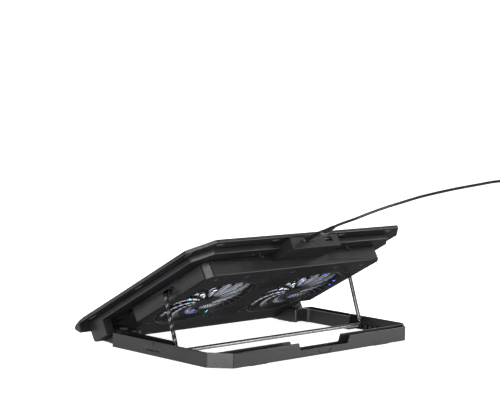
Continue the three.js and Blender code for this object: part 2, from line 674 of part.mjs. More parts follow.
function bail() {
  const angle = bailAngle();
  const [pivotY, pivotZ] = BAIL_PIVOT;
  const at = (x, d) => new THREE.Vector3(x, pivotY + d * Math.cos(angle), pivotZ + d * Math.sin(angle));
  const bend = (a, corner, b) => new THREE.QuadraticBezierCurve3(at(...a), at(...corner), at(...b));
  const run = (a, b) => new THREE.LineCurve3(at(...a), at(...b));
  const leg = BAIL_LEG_X;
  const tip = TUB_HALF - 3.5;
  const knee = 4.5; // start of the bend into the housing
  const foot = BAIL_ARM - BAIL_BEND_R;
  const wire = new BentWire([
    run([tip, 0], [leg - knee, 0]),
    bend([leg - knee, 0], [leg, 0], [leg, knee]),
    run([leg, knee], [leg, foot]),
    bend([leg, foot], [leg, BAIL_ARM], [leg - BAIL_BEND_R, BAIL_ARM]),
    run([leg - BAIL_BEND_R, BAIL_ARM], [-leg + BAIL_BEND_R, BAIL_ARM]),
    bend([-leg + BAIL_BEND_R, BAIL_ARM], [-leg, BAIL_ARM], [-leg, foot]),
    run([-leg, foot], [-leg, knee]),
    bend([-leg, knee], [-leg, 0], [-leg + knee, 0]),
    run([-leg + knee, 0], [-tip, 0]),
  ]);
  const section = new THREE.Shape().absarc(0, 0, BAIL_R, 0, Math.PI * 2, false);
  const steps = wire.steps.length;
  const options = { steps, extrudePath: wire, curveSegments: 6, bevelEnabled: false };
  return solid(new THREE.ExtrudeGeometry(section, options));
}

function buildBail(tray) {
  piece(tray, 'wire_bail', bail(), steel());
  const [y, z] = BAIL_PIVOT;
  const outer = roundAlongX(4.5, TUB_HALF - TUB_WALL - 2.6, TUB_HALF + 0.6, y, z, 20);
  const flange = roundAlongX(6, TUB_HALF - TUB_WALL - 2.6, TUB_HALF - TUB_WALL - GAP, y, z, 20);
  const hole = roundAlongX(BAIL_R + GAP, TUB_HALF - 10, TUB_HALF + 5, y, z, 20);
  bothSides(tray, 'bail_bush', cut(join(outer, flange), hole), darkPlastic);
}

// ---- Stops ----
function stop() {
  const half = STOP_HALF;
  const upright = box(-half, half, -1.7, 1.7, 0, STOP_HEIGHT);
  const root = roundAlongX(1.7, -half, half, 0, 0, 16);
  const lip = box(-half, half, -1.7, 3.4, STOP_HEIGHT - 2.6, STOP_HEIGHT);
  return cut(join(upright, root, lip), roundAlongX(1.3, -half - 1, half + 1, 0, 0, 12));
}

function buildStops(tray) {
  for (const [name, x] of [['right', STOP_X], ['left', -STOP_X]]) {
    const place = new THREE.Group();
    place.position.set(x, STOP_Y, STOP_Z);
    tray.add(place);
    piece(place, `laptop_stop_${name}`, stop(), charcoal());
    const pin = roundAlongX(1, -STOP_HALF - 4.5, STOP_HALF + 4.5, 0, 0, 10);
    piece(place, `stop_pin_${name}`, pin, steel());
  }
}

// ---- USB lead ----
const CORD_ROUTE = [
  [11.5, 131, 151.35], [11.4, 134.3, 153.05], [10, 144, 157.2], [6.5, 156.7, 162.6],
  [-4, 169.5, 170], [-17, 183.1, 177.5], [-28, 192.7, 182.4],
  [-47, 206, 189.7], [-79, 223.7, 198], [-108, 237.3, 203.6], [-139, 249.9, 208.3],
  [-168, 264.5, 208.5], [-196, 277, 202.5], [-221, 285, 189], [-242.5, 289.5, 168.5],
  [-259, 290, 142], [-270, 286, 113], [-275.5, 279.5, 84], [-277.2, 271.5, 58],
  [-276, 262.5, 36.5], [-273.2, 253.5, 20], [-270.3, 244.5, 9], [-268.7, 236, 3.8],
  [-268.25, 228.1, 1.9],
];
const CORD_END_ROUTE = [
  [-229.75, 228.4, 10], [-229.75, 231.5, 8], [-229.75, 234.5, 5.8], [-229.75, 238.3, 4.7],
];

function buildLead(group) {
  piece(group, 'usb_cord', tube(CORD_ROUTE, 72, CORD_R), darkPlastic());
  const half = CORD_R + 0.2;
  const coil = ring(COIL_R - half, COIL_R + half, 0.1, COIL_TOP, COIL_X, COIL_Y, 32);
  piece(group, 'usb_cord_coil', coil, darkPlastic());
  piece(group, 'usb_cord_end', tube(CORD_END_ROUTE, 5, CORD_R), darkPlastic());
  const plug = piece(group, 'usb_plug_far', usbPlug(0, 0), darkPlastic());
  plug.rotation.z = Math.PI;
  plug.position.set(COIL_X + COIL_R, COIL_Y + 24 + PLUG_LENGTH, FAR_PLUG_Z);
}

// ---- The whole pad ----
const pad = new THREE.Group();
pad.add(buildBase());
const tray = new THREE.Group();
tray.position.set(0, HINGE_Y, HINGE_Z);
tray.rotation.x = TILT;
pad.add(tray);
buildPlates(tray);
buildScrews(tray);
buildFans(tray);
buildUsb(tray);
buildBail(tray);
buildStops(tray);
buildLead(pad);

export default pad;
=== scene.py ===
import json
import math

import bmesh
import bpy
from mathutils import Matrix, Vector

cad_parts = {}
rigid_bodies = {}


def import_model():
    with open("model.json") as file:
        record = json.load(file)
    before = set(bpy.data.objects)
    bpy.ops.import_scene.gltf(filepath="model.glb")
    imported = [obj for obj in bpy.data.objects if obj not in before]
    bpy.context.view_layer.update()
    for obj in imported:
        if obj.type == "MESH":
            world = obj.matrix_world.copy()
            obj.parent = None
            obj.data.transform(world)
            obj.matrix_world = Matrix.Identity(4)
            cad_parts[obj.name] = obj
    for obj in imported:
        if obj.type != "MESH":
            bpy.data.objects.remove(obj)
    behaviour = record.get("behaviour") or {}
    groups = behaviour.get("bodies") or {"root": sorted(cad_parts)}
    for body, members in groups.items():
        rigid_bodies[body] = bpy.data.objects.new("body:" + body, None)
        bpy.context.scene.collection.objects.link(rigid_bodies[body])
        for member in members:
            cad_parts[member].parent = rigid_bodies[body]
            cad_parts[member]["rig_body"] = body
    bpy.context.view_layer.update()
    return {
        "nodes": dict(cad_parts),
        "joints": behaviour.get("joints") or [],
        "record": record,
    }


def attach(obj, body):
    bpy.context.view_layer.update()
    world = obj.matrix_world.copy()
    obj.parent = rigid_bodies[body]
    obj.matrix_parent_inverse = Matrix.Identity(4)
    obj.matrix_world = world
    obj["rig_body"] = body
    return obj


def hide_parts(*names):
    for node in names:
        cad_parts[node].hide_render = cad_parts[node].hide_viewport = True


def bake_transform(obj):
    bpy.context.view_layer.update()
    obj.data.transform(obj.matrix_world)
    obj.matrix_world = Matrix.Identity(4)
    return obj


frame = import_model()

MM = 0.001
JOINTS = {joint["name"]: joint for joint in frame["joints"]}
HINGE = Vector(JOINTS["tray_tilt"]["pos_m"])
FAN_AXIS = Vector(JOINTS["fan_spin_right"]["axis"]).normalized()
TILT = math.atan2(-FAN_AXIS.y, FAN_AXIS.z)
TRAY = Matrix.Translation(HINGE) @ Matrix.Rotation(TILT, 4, "X")  # from the tray's own axes to the row frame


# ---- Camera ----
CAMERA_PLACE = (1.3895, 1.2992, 0.3387)
AHEAD = (-0.727, -0.687, 0.0)  # the way the camera looks, taken level


def make_camera():
    """A long lens behind the pad, at its right side, looking down a little and leant a little."""
    yaw, pitch, roll = math.radians(46.63), math.radians(5.08), math.radians(2.12)
    forward = Vector((-math.sin(yaw) * math.cos(pitch), -math.cos(yaw) * math.cos(pitch), -math.sin(pitch)))
    right = forward.cross(Vector((0, 0, 1))).normalized()
    up = right.cross(forward)
    leant_right = math.cos(roll) * right + math.sin(roll) * up
    leant_up = -math.sin(roll) * right + math.cos(roll) * up
    data = bpy.data.cameras.new("camera")
    data.lens = 114.8
    data.sensor_width = 36
    data.clip_start = 0.05
    data.clip_end = 50
    camera = bpy.data.objects.new("camera", data)
    turn = Matrix((leant_right, leant_up, -forward)).transposed().to_4x4()
    camera.matrix_world = Matrix.Translation(CAMERA_PLACE) @ turn
    bpy.context.scene.collection.objects.link(camera)
    bpy.context.scene.camera = camera


# ---- Materials ----
class Nodes:
    """Adds nodes to one material."""

    def __init__(self, name):
        self.material = bpy.data.materials.new(name)
        self.material.use_nodes = True
        self.tree = self.material.node_tree
        self.shader = self.tree.nodes["Principled BSDF"]
        self.coordinates = self.add("ShaderNodeTexCoord")
        self.place = self.coordinates.outputs["Object"]

    def add(self, kind, **inputs):
        node = self.tree.nodes.new(kind)
        for key, value in inputs.items():
            node.inputs[key.replace("_", " ")].default_value = value
        return node

    def link(self, out, into):
        self.tree.links.new(out, into)

    def noise(self, scale, detail=3.0, roughness=0.55, stretch=None):
        node = self.add("ShaderNodeTexNoise", Scale=scale, Detail=detail, Roughness=roughness)
        place = self.place
        if stretch:
            mapping = self.add("ShaderNodeMapping", Scale=stretch)
            self.link(place, mapping.inputs["Vector"])
            place = mapping.outputs["Vector"]
        self.link(place, node.inputs["Vector"])
        return node.outputs["Fac"]

    def ramp(self, factor, low, high, start=0.3, end=0.7):
        node = self.add("ShaderNodeValToRGB")
        first, last = node.color_ramp.elements
        first.position, last.position = start, end
        first.color, last.color = (*low, 1), (*high, 1)
        self.link(factor, node.inputs["Fac"])
        return node.outputs["Color"]

    def steps(self, factor, *stops):
        """Greys between the given places."""
        node = self.add("ShaderNodeValToRGB")
        elements = node.color_ramp.elements
        while len(elements) < len(stops):
            elements.new(0.5)
        for element, (place, grey) in zip(elements, stops):
            element.position = place
            element.color = (grey, grey, grey, 1)
        self.link(factor, node.inputs["Fac"])
        return node.outputs["Color"]

    def times(self, first, second):
        node = self.add("ShaderNodeVectorMath")
        node.operation = "MULTIPLY"
        self.link(first, node.inputs[0])
        self.link(second, node.inputs[1])
        return node.outputs["Vector"]

    def spread(self, factor, low, high):
        node = self.add("ShaderNodeMapRange", To_Min=low, To_Max=high)
        self.link(factor, node.inputs["Value"])
        return node.outputs["Result"]

    def bump(self, height, strength, distance, before=None):
        node = self.add("ShaderNodeBump", Strength=strength, Distance=distance)
        self.link(height, node.inputs["Height"])
        if before:
            self.link(before, node.inputs["Normal"])
        return node.outputs["Normal"]


def moulded(name, low, high, rough, grain=5200.0, bump=0.25, specular=0.5, shade_below=False):
    """Moulded plastic: a fine grain, slow changes in tone and gloss, and if asked painted shade on faces
    below, which lose their shine.
    """
    m = Nodes(name)
    m.link(m.ramp(m.noise(24), low, high), m.shader.inputs["Base Color"])
    m.link(m.spread(m.noise(90, 4), rough - 0.06, rough + 0.08), m.shader.inputs["Roughness"])
    m.shader.inputs["Specular IOR Level"].default_value = specular
    # painted shade: faces turned downward lose their shine, so they stay dark
    if shade_below:
        split = m.add("ShaderNodeSeparateXYZ")
        m.link(m.coordinates.outputs["Normal"], split.inputs["Vector"])
        below = m.add("ShaderNodeMapRange", From_Min=-0.75, From_Max=-0.6,
                      To_Min=specular * 0.003, To_Max=specular)
        m.link(split.outputs["Z"], below.inputs["Value"])
        m.link(below.outputs["Result"], m.shader.inputs["Specular IOR Level"])
    fine = m.bump(m.noise(grain, 2), bump, 0.00004)
    m.link(m.bump(m.noise(14, 2), 0.08, 0.0012, fine), m.shader.inputs["Normal"])
    return m.material


def rubber(name):
    """Soft rubber: matt, with a fine skin."""
    m = Nodes(name)
    m.link(m.ramp(m.noise(60), (0.008, 0.008, 0.009), (0.02, 0.02, 0.021)), m.shader.inputs["Base Color"])
    m.link(m.spread(m.noise(300), 0.72, 0.92), m.shader.inputs["Roughness"])
    m.shader.inputs["Specular IOR Level"].default_value = 0.35
    m.link(m.bump(m.noise(3500, 2), 0.35, 0.00005), m.shader.inputs["Normal"])
    return m.material


def bright_metal(name, low, high, rough, stretch, streak=700.0):
    """Plated metal: drawn streaks along one axis, in tone, gloss and surface."""
    m = Nodes(name)
    m.shader.inputs["Metallic"].default_value = 1.0
    streaks = m.noise(streak, 3, 0.6, stretch)
    m.link(m.ramp(streaks, low, high), m.shader.inputs["Base Color"])
    m.link(m.spread(m.noise(120, 3), rough - 0.05, rough + 0.1), m.shader.inputs["Roughness"])
    m.link(m.bump(streaks, 0.2, 0.00003), m.shader.inputs["Normal"])
    return m.material


def coated_metal(name):
    """Powder-coated sheet steel: a fine orange peel."""
    m = Nodes(name)
    m.shader.inputs["Metallic"].default_value = 0.35
    m.link(m.ramp(m.noise(40), (0.018, 0.018, 0.02), (0.032, 0.032, 0.035)), m.shader.inputs["Base Color"])
    m.link(m.spread(m.noise(150), 0.35, 0.5), m.shader.inputs["Roughness"])
    m.link(m.bump(m.noise(1400, 2), 0.3, 0.00006), m.shader.inputs["Normal"])
    return m.material


def blade_plastic(name):
    """Smoky translucent fan plastic with the lamps' light painted on: bright glowing streaks that run out
    along each blade, and a colour that fades to dark towards the tips.
    """
    m = Nodes(name)
    along = m.add("ShaderNodeAttribute")
    along.attribute_name = "blade"
    split = m.add("ShaderNodeSeparateXYZ")
    m.link(along.outputs["Vector"], split.inputs["Vector"])
    m.place = along.outputs["Vector"]
    streaks = m.noise(1.0, 2, 0.5, (0.7, 5.5, 0.0))
    # painted light along and across each blade: bright near the root and on one side of the chord, dark at
    # the tip; it sets both the colour and the glow
    out = m.steps(split.outputs["X"], (0, 0.5), (0.14, 1), (0.4, 0.85), (0.7, 0.45), (0.92, 0.1), (1, 0))
    across = m.steps(split.outputs["Z"], (0, 0), (0.25, 0.12), (0.5, 0.75), (0.75, 1), (1, 0.3))
    lit = m.times(out, across)
    body = m.ramp(streaks, (0.03, 0.035, 0.05), (0.3, 0.33, 0.4))
    glow = m.ramp(streaks, (0.08, 0.1, 0.16), (0.9, 0.95, 1.0), 0.33)
    m.link(m.times(body, out), m.shader.inputs["Base Color"])
    m.link(m.spread(m.noise(9), 0.18, 0.34), m.shader.inputs["Roughness"])
    m.link(m.times(glow, lit), m.shader.inputs["Emission Color"])
    m.shader.inputs["Emission Strength"].default_value = 1.3
    m.link(m.bump(streaks, 0.25, 0.0002), m.shader.inputs["Normal"])
    return m.material


def lamp_and_glint_glow(name, low, high, strength):
    """A clear lens with its lamp lit; the glint looks use it too, as painted glints on pieces that are no
    lamps.
    """
    m = Nodes(name)
    m.link(m.ramp(m.noise(900), low, high), m.shader.inputs["Base Color"])
    m.link(m.ramp(m.noise(700), low, high), m.shader.inputs["Emission Color"])
    m.shader.inputs["Emission Strength"].default_value = strength
    m.link(m.spread(m.noise(500), 0.12, 0.25), m.shader.inputs["Roughness"])
    return m.material


def circuit_board(name):
    """Green solder mask over a pattern of tracks."""
    m = Nodes(name)
    tracks = m.add("ShaderNodeTexBrick", Scale=260.0)
    tracks.inputs["Mortar Size"].default_value = 0.03
    tracks.inputs["Color1"].default_value = (0.012, 0.085, 0.04, 1)
    tracks.inputs["Color2"].default_value = (0.016, 0.11, 0.05, 1)
    tracks.inputs["Mortar"].default_value = (0.05, 0.2, 0.08, 1)
    m.link(m.place, tracks.inputs["Vector"])
    m.link(tracks.outputs["Color"], m.shader.inputs["Base Color"])
    m.link(m.spread(m.noise(400), 0.25, 0.4), m.shader.inputs["Roughness"])
    m.link(m.bump(tracks.outputs["Fac"], 0.3, 0.00005), m.shader.inputs["Normal"])
    return m.material


def copper_winding(name):
    """Enamelled wire, wound in even turns."""
    m = Nodes(name)
    m.shader.inputs["Metallic"].default_value = 0.85
    rings = m.add("ShaderNodeTexWave", Scale=420.0, Distortion=0.4)
    rings.bands_direction = "Z"
    m.link(m.place, rings.inputs["Vector"])
    m.link(m.ramp(rings.outputs["Fac"], (0.2, 0.06, 0.02), (0.62, 0.26, 0.1)), m.shader.inputs["Base Color"])
    m.link(m.spread(m.noise(300), 0.25, 0.4), m.shader.inputs["Roughness"])
    m.link(m.bump(rings.outputs["Fac"], 0.5, 0.0001), m.shader.inputs["Normal"])
    return m.material


def wire_chrome(name):
    """Plated wire with painted reflection: bright bands and dark ones painted round it, wound along its right
    leg.
    """
    m = Nodes(name)
    m.shader.inputs["Metallic"].default_value = 1.0
    rough = m.spread(m.noise(160, 3), 0.14, 0.26)
    bump_and_sheen_noise = m.noise(70, 2, 0.5)
    along = m.add("ShaderNodeAttribute")
    along.attribute_name = "wire"
    split = m.add("ShaderNodeSeparateXYZ")
    m.link(along.outputs["Vector"], split.inputs["Vector"])
    # painted reflection: the bands from the wire attribute set the colour, their edges made uneven by the
    # noise
    wander = m.add("ShaderNodeMath")
    wander.operation = "MULTIPLY_ADD"
    m.link(bump_and_sheen_noise, wander.inputs[0])
    wander.inputs[1].default_value = 0.2
    m.link(split.outputs["X"], wander.inputs[2])
    m.link(m.ramp(wander.outputs["Value"], (0.025, 0.025, 0.028), (0.17, 0.173, 0.182), 0.6, 1.05),
           m.shader.inputs["Base Color"])
    m.link(rough, m.shader.inputs["Roughness"])
    m.link(m.bump(bump_and_sheen_noise, 0.1, 0.00005), m.shader.inputs["Normal"])
    return m.material


def make_materials():
    return {
        "charcoal_plastic": moulded("charcoal_plastic", (0.006, 0.006, 0.0065), (0.01, 0.01, 0.0112), 0.35,
                                    specular=0.32, shade_below=True),
        "black_plastic": moulded("black_plastic", (0.004, 0.004, 0.0045), (0.008, 0.008, 0.009), 0.4,
                                 grain=4200.0, bump=0.2, specular=0.25, shade_below=True),
        "black_rubber": rubber("black_rubber"),
        "bright_steel": bright_metal("bright_steel", (0.5, 0.51, 0.53), (0.75, 0.76, 0.78), 0.2, (0.1, 1, 1)),
        "bail_wire": wire_chrome("bail_wire"),
        "mesh_metal": coated_metal("mesh_metal"),
        "blade_plastic": blade_plastic("blade_plastic"),
        "motor_copper": copper_winding("motor_copper"),
        "led_lens": lamp_and_glint_glow("led_lens", (0.75, 0.85, 1.0), (1.0, 1.0, 1.0), 2.0),
        # painted glints: the lamps' light painted as a glow on slivers of the guard
        "cyan_glint": lamp_and_glint_glow("cyan_glint", (0.02, 0.4, 0.75), (0.1, 0.75, 1.0), 1.0),
        "blue_glint": lamp_and_glint_glow("blue_glint", (0.02, 0.05, 0.6), (0.12, 0.2, 1.0), 0.9),
        "port_steel": bright_metal("port_steel", (0.07, 0.072, 0.078), (0.17, 0.172, 0.18), 0.3, (0.1, 1, 1)),
        "screw_steel": bright_metal("screw_steel", (0.03, 0.03, 0.033), (0.09, 0.09, 0.1), 0.4, (1, 1, 1)),
        "circuit_board": circuit_board("circuit_board"),
        "cord_jacket": moulded("cord_jacket", (0.003, 0.003, 0.0034), (0.006, 0.006, 0.0065), 0.4,
                               grain=3000.0, bump=0.15, specular=0.22),
    }


# ---- Mesh tools ----
def new_piece(name, mesh, slot, body, *replaced, smooth=30):
    """A new piece in the row frame, with its finish, that rides on a body and stands for CAD nodes."""
    piece = bpy.data.objects.new(name, mesh)
    bpy.context.scene.collection.objects.link(piece)
    mesh.materials.clear()
    mesh.materials.append(MATERIALS[slot])
    if smooth:
        shade_by_angle(mesh, smooth)
    if body:
        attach(piece, body)
    if replaced:
        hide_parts(*replaced)
    return piece


def shade_by_angle(mesh, degrees):
    for polygon in mesh.polygons:
        polygon.use_smooth = True
    mesh.set_sharp_from_angle(angle=math.radians(degrees))


def directions(path):
    """The direction of a path at each of its points."""
    ends = [path[0], *path, path[-1]]
    return [(after - before).normalized() for before, after in zip(ends, ends[2:])]


def mesh_from(name, points, faces):
    mesh = bpy.data.meshes.new(name)
    mesh.from_pydata([tuple(p) for p in points], [], faces)
    mesh.update()
    return mesh


def skin(rings, size):
    """Faces that close a stack of rings, each with size points."""
    faces = []
    for i in range(rings - 1):
        for k in range(size):
            n = (k + 1) % size
            faces.append((i * size + k, i * size + n, (i + 1) * size + n, (i + 1) * size + k))
    faces.append(tuple(reversed(range(size))))
    faces.append(tuple((rings - 1) * size + k for k in range(size)))
    return faces


def refined(node, width, segments=2, look=None, cutters=()):
    """A CAD node with grooves cut in it and its edges rounded by width, in mm."""
    source = frame["nodes"][node]
    form = bmesh.new()
    form.from_mesh(source.data)
    bmesh.ops.remove_doubles(form, verts=form.verts, dist=2e-6)
    mesh = bpy.data.meshes.new(node + "_fine")
    form.to_mesh(mesh)
    form.free()
    if cutters:
        mesh = carved(mesh, cutters)
    piece = new_piece(node + "_fine", mesh, SLOTS[node], source["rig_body"], node, smooth=0)
    if look:
        piece.data.materials[0] = MATERIALS[look]
    bevel = piece.modifiers.new("edges", "BEVEL")
    bevel.width = width * MM
    bevel.segments = segments
    bevel.limit_method = "ANGLE"
    bevel.angle_limit = math.radians(35)
    bevel.use_clamp_overlap = False
    for polygon in mesh.polygons:
        polygon.use_smooth = True
    normals = piece.modifiers.new("normals", "WEIGHTED_NORMAL")
    normals.weight = 100


def carved(mesh, cutters):
    """A mesh with closed cutter meshes taken away from it."""
    body = bpy.data.objects.new("carving", mesh)
    scene = bpy.context.scene.collection
    scene.objects.link(body)
    tools = []
    for cutter in cutters:
        tool = bpy.data.objects.new("cutter", cutter)
        scene.objects.link(tool)
        tools.append(tool)
        step = body.modifiers.new("cut", "BOOLEAN")
        step.operation = "DIFFERENCE"
        step.solver = "EXACT"
        step.object = tool
    bpy.context.view_layer.update()
    done = bpy.data.meshes.new_from_object(body.evaluated_get(bpy.context.evaluated_depsgraph_get()))
    for thing in [body, *tools]:
        bpy.data.objects.remove(thing)
    return done


class Form:
    """Points, faces and a mark on each point, of one piece, in mm in the tray's axes or the row frame's."""

    def __init__(self, spot=(0, 0, 0)):
        self.spot = Vector(spot)
        self.points = []
        self.faces = []
        self.marks = []

    def add(self, points, faces, marks=None):
        first = len(self.points)
        self.points += [self.spot + Vector(p) for p in points]
        self.faces += [tuple(first + i for i in face) for face in faces]
        self.marks += marks or [(0.0, 0.0, 0.0)] * len(points)

    def block(self, x0, x1, y0, y1, z0, z1, turn=0.0):
        """A box, turned about Z by degrees."""
        spin = Matrix.Rotation(math.radians(turn), 4, "Z")
        points = [spin @ Vector((x, y, z)) for z in (z0, z1) for y in (y0, y1) for x in (x0, x1)]
        self.add(points, [(0, 2, 3, 1), (4, 5, 7, 6), (0, 1, 5, 4), (2, 6, 7, 3), (0, 4, 6, 2), (1, 3, 7, 5)])

    def lathe(self, profile, sides=48, x=0.0, y=0.0):
        """A ring or disc about the Z axis at x, y, from a closed outline of (radius, z)."""
        count = len(profile)
        points = []
        for k in range(sides):
            a = 2 * math.pi * k / sides
            points += [(x + r * math.cos(a), y + r * math.sin(a), z) for r, z in profile]
        faces = []
        for k in range(sides):
            n = (k + 1) % sides
            for i in range(count):
                j = (i + 1) % count
                faces.append((k * count + i, n * count + i, n * count + j, k * count + j))
        self.add(points, faces)

    def bar(self, path, wide, low, high):
        """A flat bar of the given width along a path in plan."""
        path = [Vector(p) for p in path]
        edge = low + 0.3 * (high - low)
        section = [(-0.5, high), (-0.5, edge), (-0.22, low), (0.22, low), (0.5, edge), (0.5, high)]
        points = []
        for p, along in zip(path, directions(path)):
            across = Vector((-along.y, along.x))
            points += [(*(p + across * wide * u), z) for u, z in section]
        self.add(points, skin(len(path), len(section)))

    def mesh(self, name, place=Matrix.Identity(4), attribute=None):
        mesh = mesh_from(name, [place @ (p * MM) for p in self.points], self.faces)
        if attribute:
            data = mesh.attributes.new(attribute, "FLOAT_VECTOR", "POINT").data
            data.foreach_set("vector", [value for mark in self.marks for value in mark])
        form = bmesh.new()
        form.from_mesh(mesh)
        bmesh.ops.recalc_face_normals(form, faces=form.faces)
        form.to_mesh(mesh)
        form.free()
        return mesh


def tube_mesh(name, points, radius, sides):
    """A closed round tube through points, with its frame carried along without twist."""
    tangents = directions(points)
    across = tangents[0].orthogonal().normalized()
    rings = []
    for point, tangent in zip(points, tangents):
        across = (across - tangent * across.dot(tangent)).normalized()
        other = tangent.cross(across)
        for k in range(sides):
            a = 2 * math.pi * k / sides
            rings.append(point + radius * (math.cos(a) * across + math.sin(a) * other))
    return mesh_from(name, rings, skin(len(points), sides))


# ---- USB lead ----
CORD_RADIUS = 1.62 * MM
CORD_STEP = 2.6
COIL_CENTRE = Vector((-249, 215, 0))
COIL_RADIUS = 19.25
COIL_TURNS = 2.5
COIL_PITCH = 3.6
COIL_STEPS = 40  # to a turn
CORD_ROUTE = [
    (11.5, 131, 151.35), (11.4, 134.3, 153.05), (10, 144, 157.2), (6.5, 156.7, 162.6),
    (-4, 169.5, 170), (-17, 183.1, 177.5), (-28, 192.7, 182.4),
    (-47, 206, 189.7), (-79, 223.7, 198), (-108, 237.3, 203.6), (-139, 249.9, 208.3),
    (-168, 264.5, 208.5), (-196, 277, 202.5), (-221, 285, 189), (-242.5, 289.5, 168.5),
    (-259, 290, 142), (-270, 286, 113), (-275.5, 279.5, 84), (-277.2, 271.5, 58),
    (-276, 262.5, 36.5), (-273.2, 253.5, 20), (-270.3, 244.5, 9), (-268.7, 236, 3.8),
    (-268.25, 228.1, 1.9),
]
CORD_END_ROUTE = [(-229.75, 228.4, 10), (-229.75, 231.5, 8), (-229.75, 234.5, 5.8), (-229.75, 238.3, 4.7)]


def smooth_route(points, step):
    """Points about step apart on a centripetal Catmull-Rom curve through the given ones."""
    points = [Vector(p) for p in points]
    ends = [2 * points[0] - points[1]] + points + [2 * points[-1] - points[-2]]
    out = []
    for p0, p1, p2, p3 in zip(ends, ends[1:], ends[2:], ends[3:]):
        d0, d1, d2 = ((b - a).length ** 0.5 for a, b in ((p0, p1), (p1, p2), (p2, p3)))
        m1 = ((p1 - p0) / d0 - (p2 - p0) / (d0 + d1) + (p2 - p1) / d1) * d1
        m2 = ((p2 - p1) / d1 - (p3 - p1) / (d1 + d2) + (p3 - p2) / d2) * d1
        count = max(1, round((p2 - p1).length / step))
        for i in range(count):
            t = i / count
            out.append(
                (2 * t**3 - 3 * t**2 + 1) * p1 + (t**3 - 2 * t**2 + t) * m1
                + (3 * t**2 - 2 * t**3) * p2 + (t**3 - t**2) * m2
            )
    return out + [points[-1]]


def coil_route():
    """The turns of the spare length, wound anticlockwise from the coil's far side."""
    start_z = CORD_ROUTE[-1][2]
    out = []
    for i in range(round(COIL_TURNS * COIL_STEPS) + 1):
        turn = i / COIL_STEPS
        a = math.pi + 2 * math.pi * turn
        spot = Vector((math.cos(a), math.sin(a), 0)) * COIL_RADIUS
        out.append(COIL_CENTRE + spot + Vector((0, 0, start_z + COIL_PITCH * turn)))
    return out


def make_cord():
    """The whole lead as one tube: out of the port, down to the coil, round it and out to the far plug."""
    coil = coil_route()
    free = smooth_route(CORD_ROUTE + coil[:1], CORD_STEP)[:-1]
    out = smooth_route(coil[-1:] + CORD_END_ROUTE[1:], CORD_STEP)  # from the coil, not from its own start
    path = [p * MM for p in free + coil[:-1] + out]
    mesh = tube_mesh("usb_cord_jacket", path, CORD_RADIUS, 16)
    cord = new_piece("usb_cord_jacket", mesh, "cord_jacket", None)
    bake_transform(cord)
    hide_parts("usb_cord", "usb_cord_coil", "usb_cord_end")
    plugs = []
    for node, place in plug_places().items():
        plugs += make_plug(node, *place)


# ---- Base frame, rim and deck ----
BACK_FACE_Y = 114.3
SIDE_FACE_X = 172.5
CORNER_FACE = (163.85, 105.65)  # a place on the face of the base's cut corner
EDGE_GROOVE = (1.1, 0.9)  # width and depth of the grooves beside the cut corners
EDGE_NORMALS = ((0.38, 0.92), (0.92, 0.38))  # outward in x and y, at the back face and at the side
TUB_SIDE_X = 151.4


def groove(points, wide, deep, normal, place=Matrix.Identity(4)):
    """A closed cutter that follows points, in mm, on a face with the given outward normal."""
    points = [Vector(p) for p in points]
    normal = Vector(normal)
    section = ((-1, 1), (1, 1), (1, -1), (-1, -1))
    form = Form()
    rings = []
    for p, along in zip(points, directions(points)):
        across = normal.cross(along)
        rings += [p + across * (u * wide / 2) + normal * (v * deep) for u, v in section]
    form.add(rings, skin(len(points), len(section)))
    return form.mesh("groove", place)


def corner_grooves(side, edges, low, high, place=Matrix.Identity(4)):
    """Upright grooves in both edges of a cut corner: the one on the back face, then the one on the side."""
    cutters = []
    for (x, y), (across, back) in zip(edges, EDGE_NORMALS):
        upright = [(side * x, y, z) for z in (low, high)]
        cutters.append(groove(upright, *EDGE_GROOVE, (side * across, back, 0), place))
    return cutters


def make_base():
    """The frame, with its finger mark, side panels, flat corners and grooves, then its feet and pins."""
    half_width, top, depth, steps = 12.8, 9.9, 8.0, 18
    arc = [math.pi + math.pi * i / steps for i in range(steps + 1)]
    mark = [(half_width * math.cos(a), BACK_FACE_Y, top + depth * math.sin(a)) for a in arc]
    panel = [(-2.6, 14), (-2.6, 8), (-2.3, 7.3), (-1.6, 7), (17.7, 7), (18.4, 7.3), (18.7, 8), (18.7, 14)]
    edges = ((151.1, BACK_FACE_Y), (SIDE_FACE_X, 92.9))
    corner_x, corner_y = CORNER_FACE
    flat_width, flat_depth = 40, 3
    cutters = [groove(mark, 0.9, 0.9, (0, 1, 0))]
    for side in (-1, 1):
        cutters.append(groove([(side * SIDE_FACE_X, y, z) for y, z in panel], 0.8, 0.8, (side, 0, 0)))
        upright = [(side * corner_x, corner_y, z) for z in (-1, 20)]
        cutters.append(groove(upright, flat_width, flat_depth, (side * 0.707, 0.707, 0)))
        cutters += corner_grooves(side, edges, 0, 19)
    refined("base_frame", 0.4, cutters=cutters)
    for name in ("base_foot_back", "base_foot_front", "base_rest_front"):
        for side in ("left", "right"):
            refined(f"{name}_{side}", 0.25)
    for side in ("left", "right"):
        refined(f"hinge_pin_{side}", 0.3)


def make_tray_shells():
    """The tub with its bail recesses and corner grooves, the shells above it, and their small parts."""
    recess = [(106, 3.4), (125, 3.4), (127, 1.5), (127, -2.4), (125, -4.3), (106, -4.3)]
    edges = ((143.4, 186), (TUB_SIDE_X, 178))
    cutters = []
    for side in (-1, 1):
        cutters.append(groove([(side * TUB_SIDE_X, y, z) for y, z in recess], 0.8, 0.7, (side, 0, 0), TRAY))
        cutters += corner_grooves(side, edges, -12, 9, TRAY)
    refined("lower_housing", 0.8, cutters=cutters)
    for node, width in (("upper_rim", 0.8), ("deck_frame", 0.9), ("usb_block", 0.8)):
        refined(node, width)
    ridge = Form()  # a low bead along the tub's back face, under the port block
    ridge.block(-48, 38, 185.9, 186.7, -0.9, 0.1)
    new_piece("housing_ridge", ridge.mesh("housing_ridge", TRAY), "charcoal_plastic", "tray", smooth=0)
    for side in ("left", "right"):
        refined(f"deck_grip_strip_{side}", 0.4)
        refined(f"laptop_stop_{side}", 0.4)
        refined(f"bail_bush_{side}", 0.3)
    for i in range(1, 8):
        refined(f"housing_screw_{i}", 0.2, look="screw_steel")


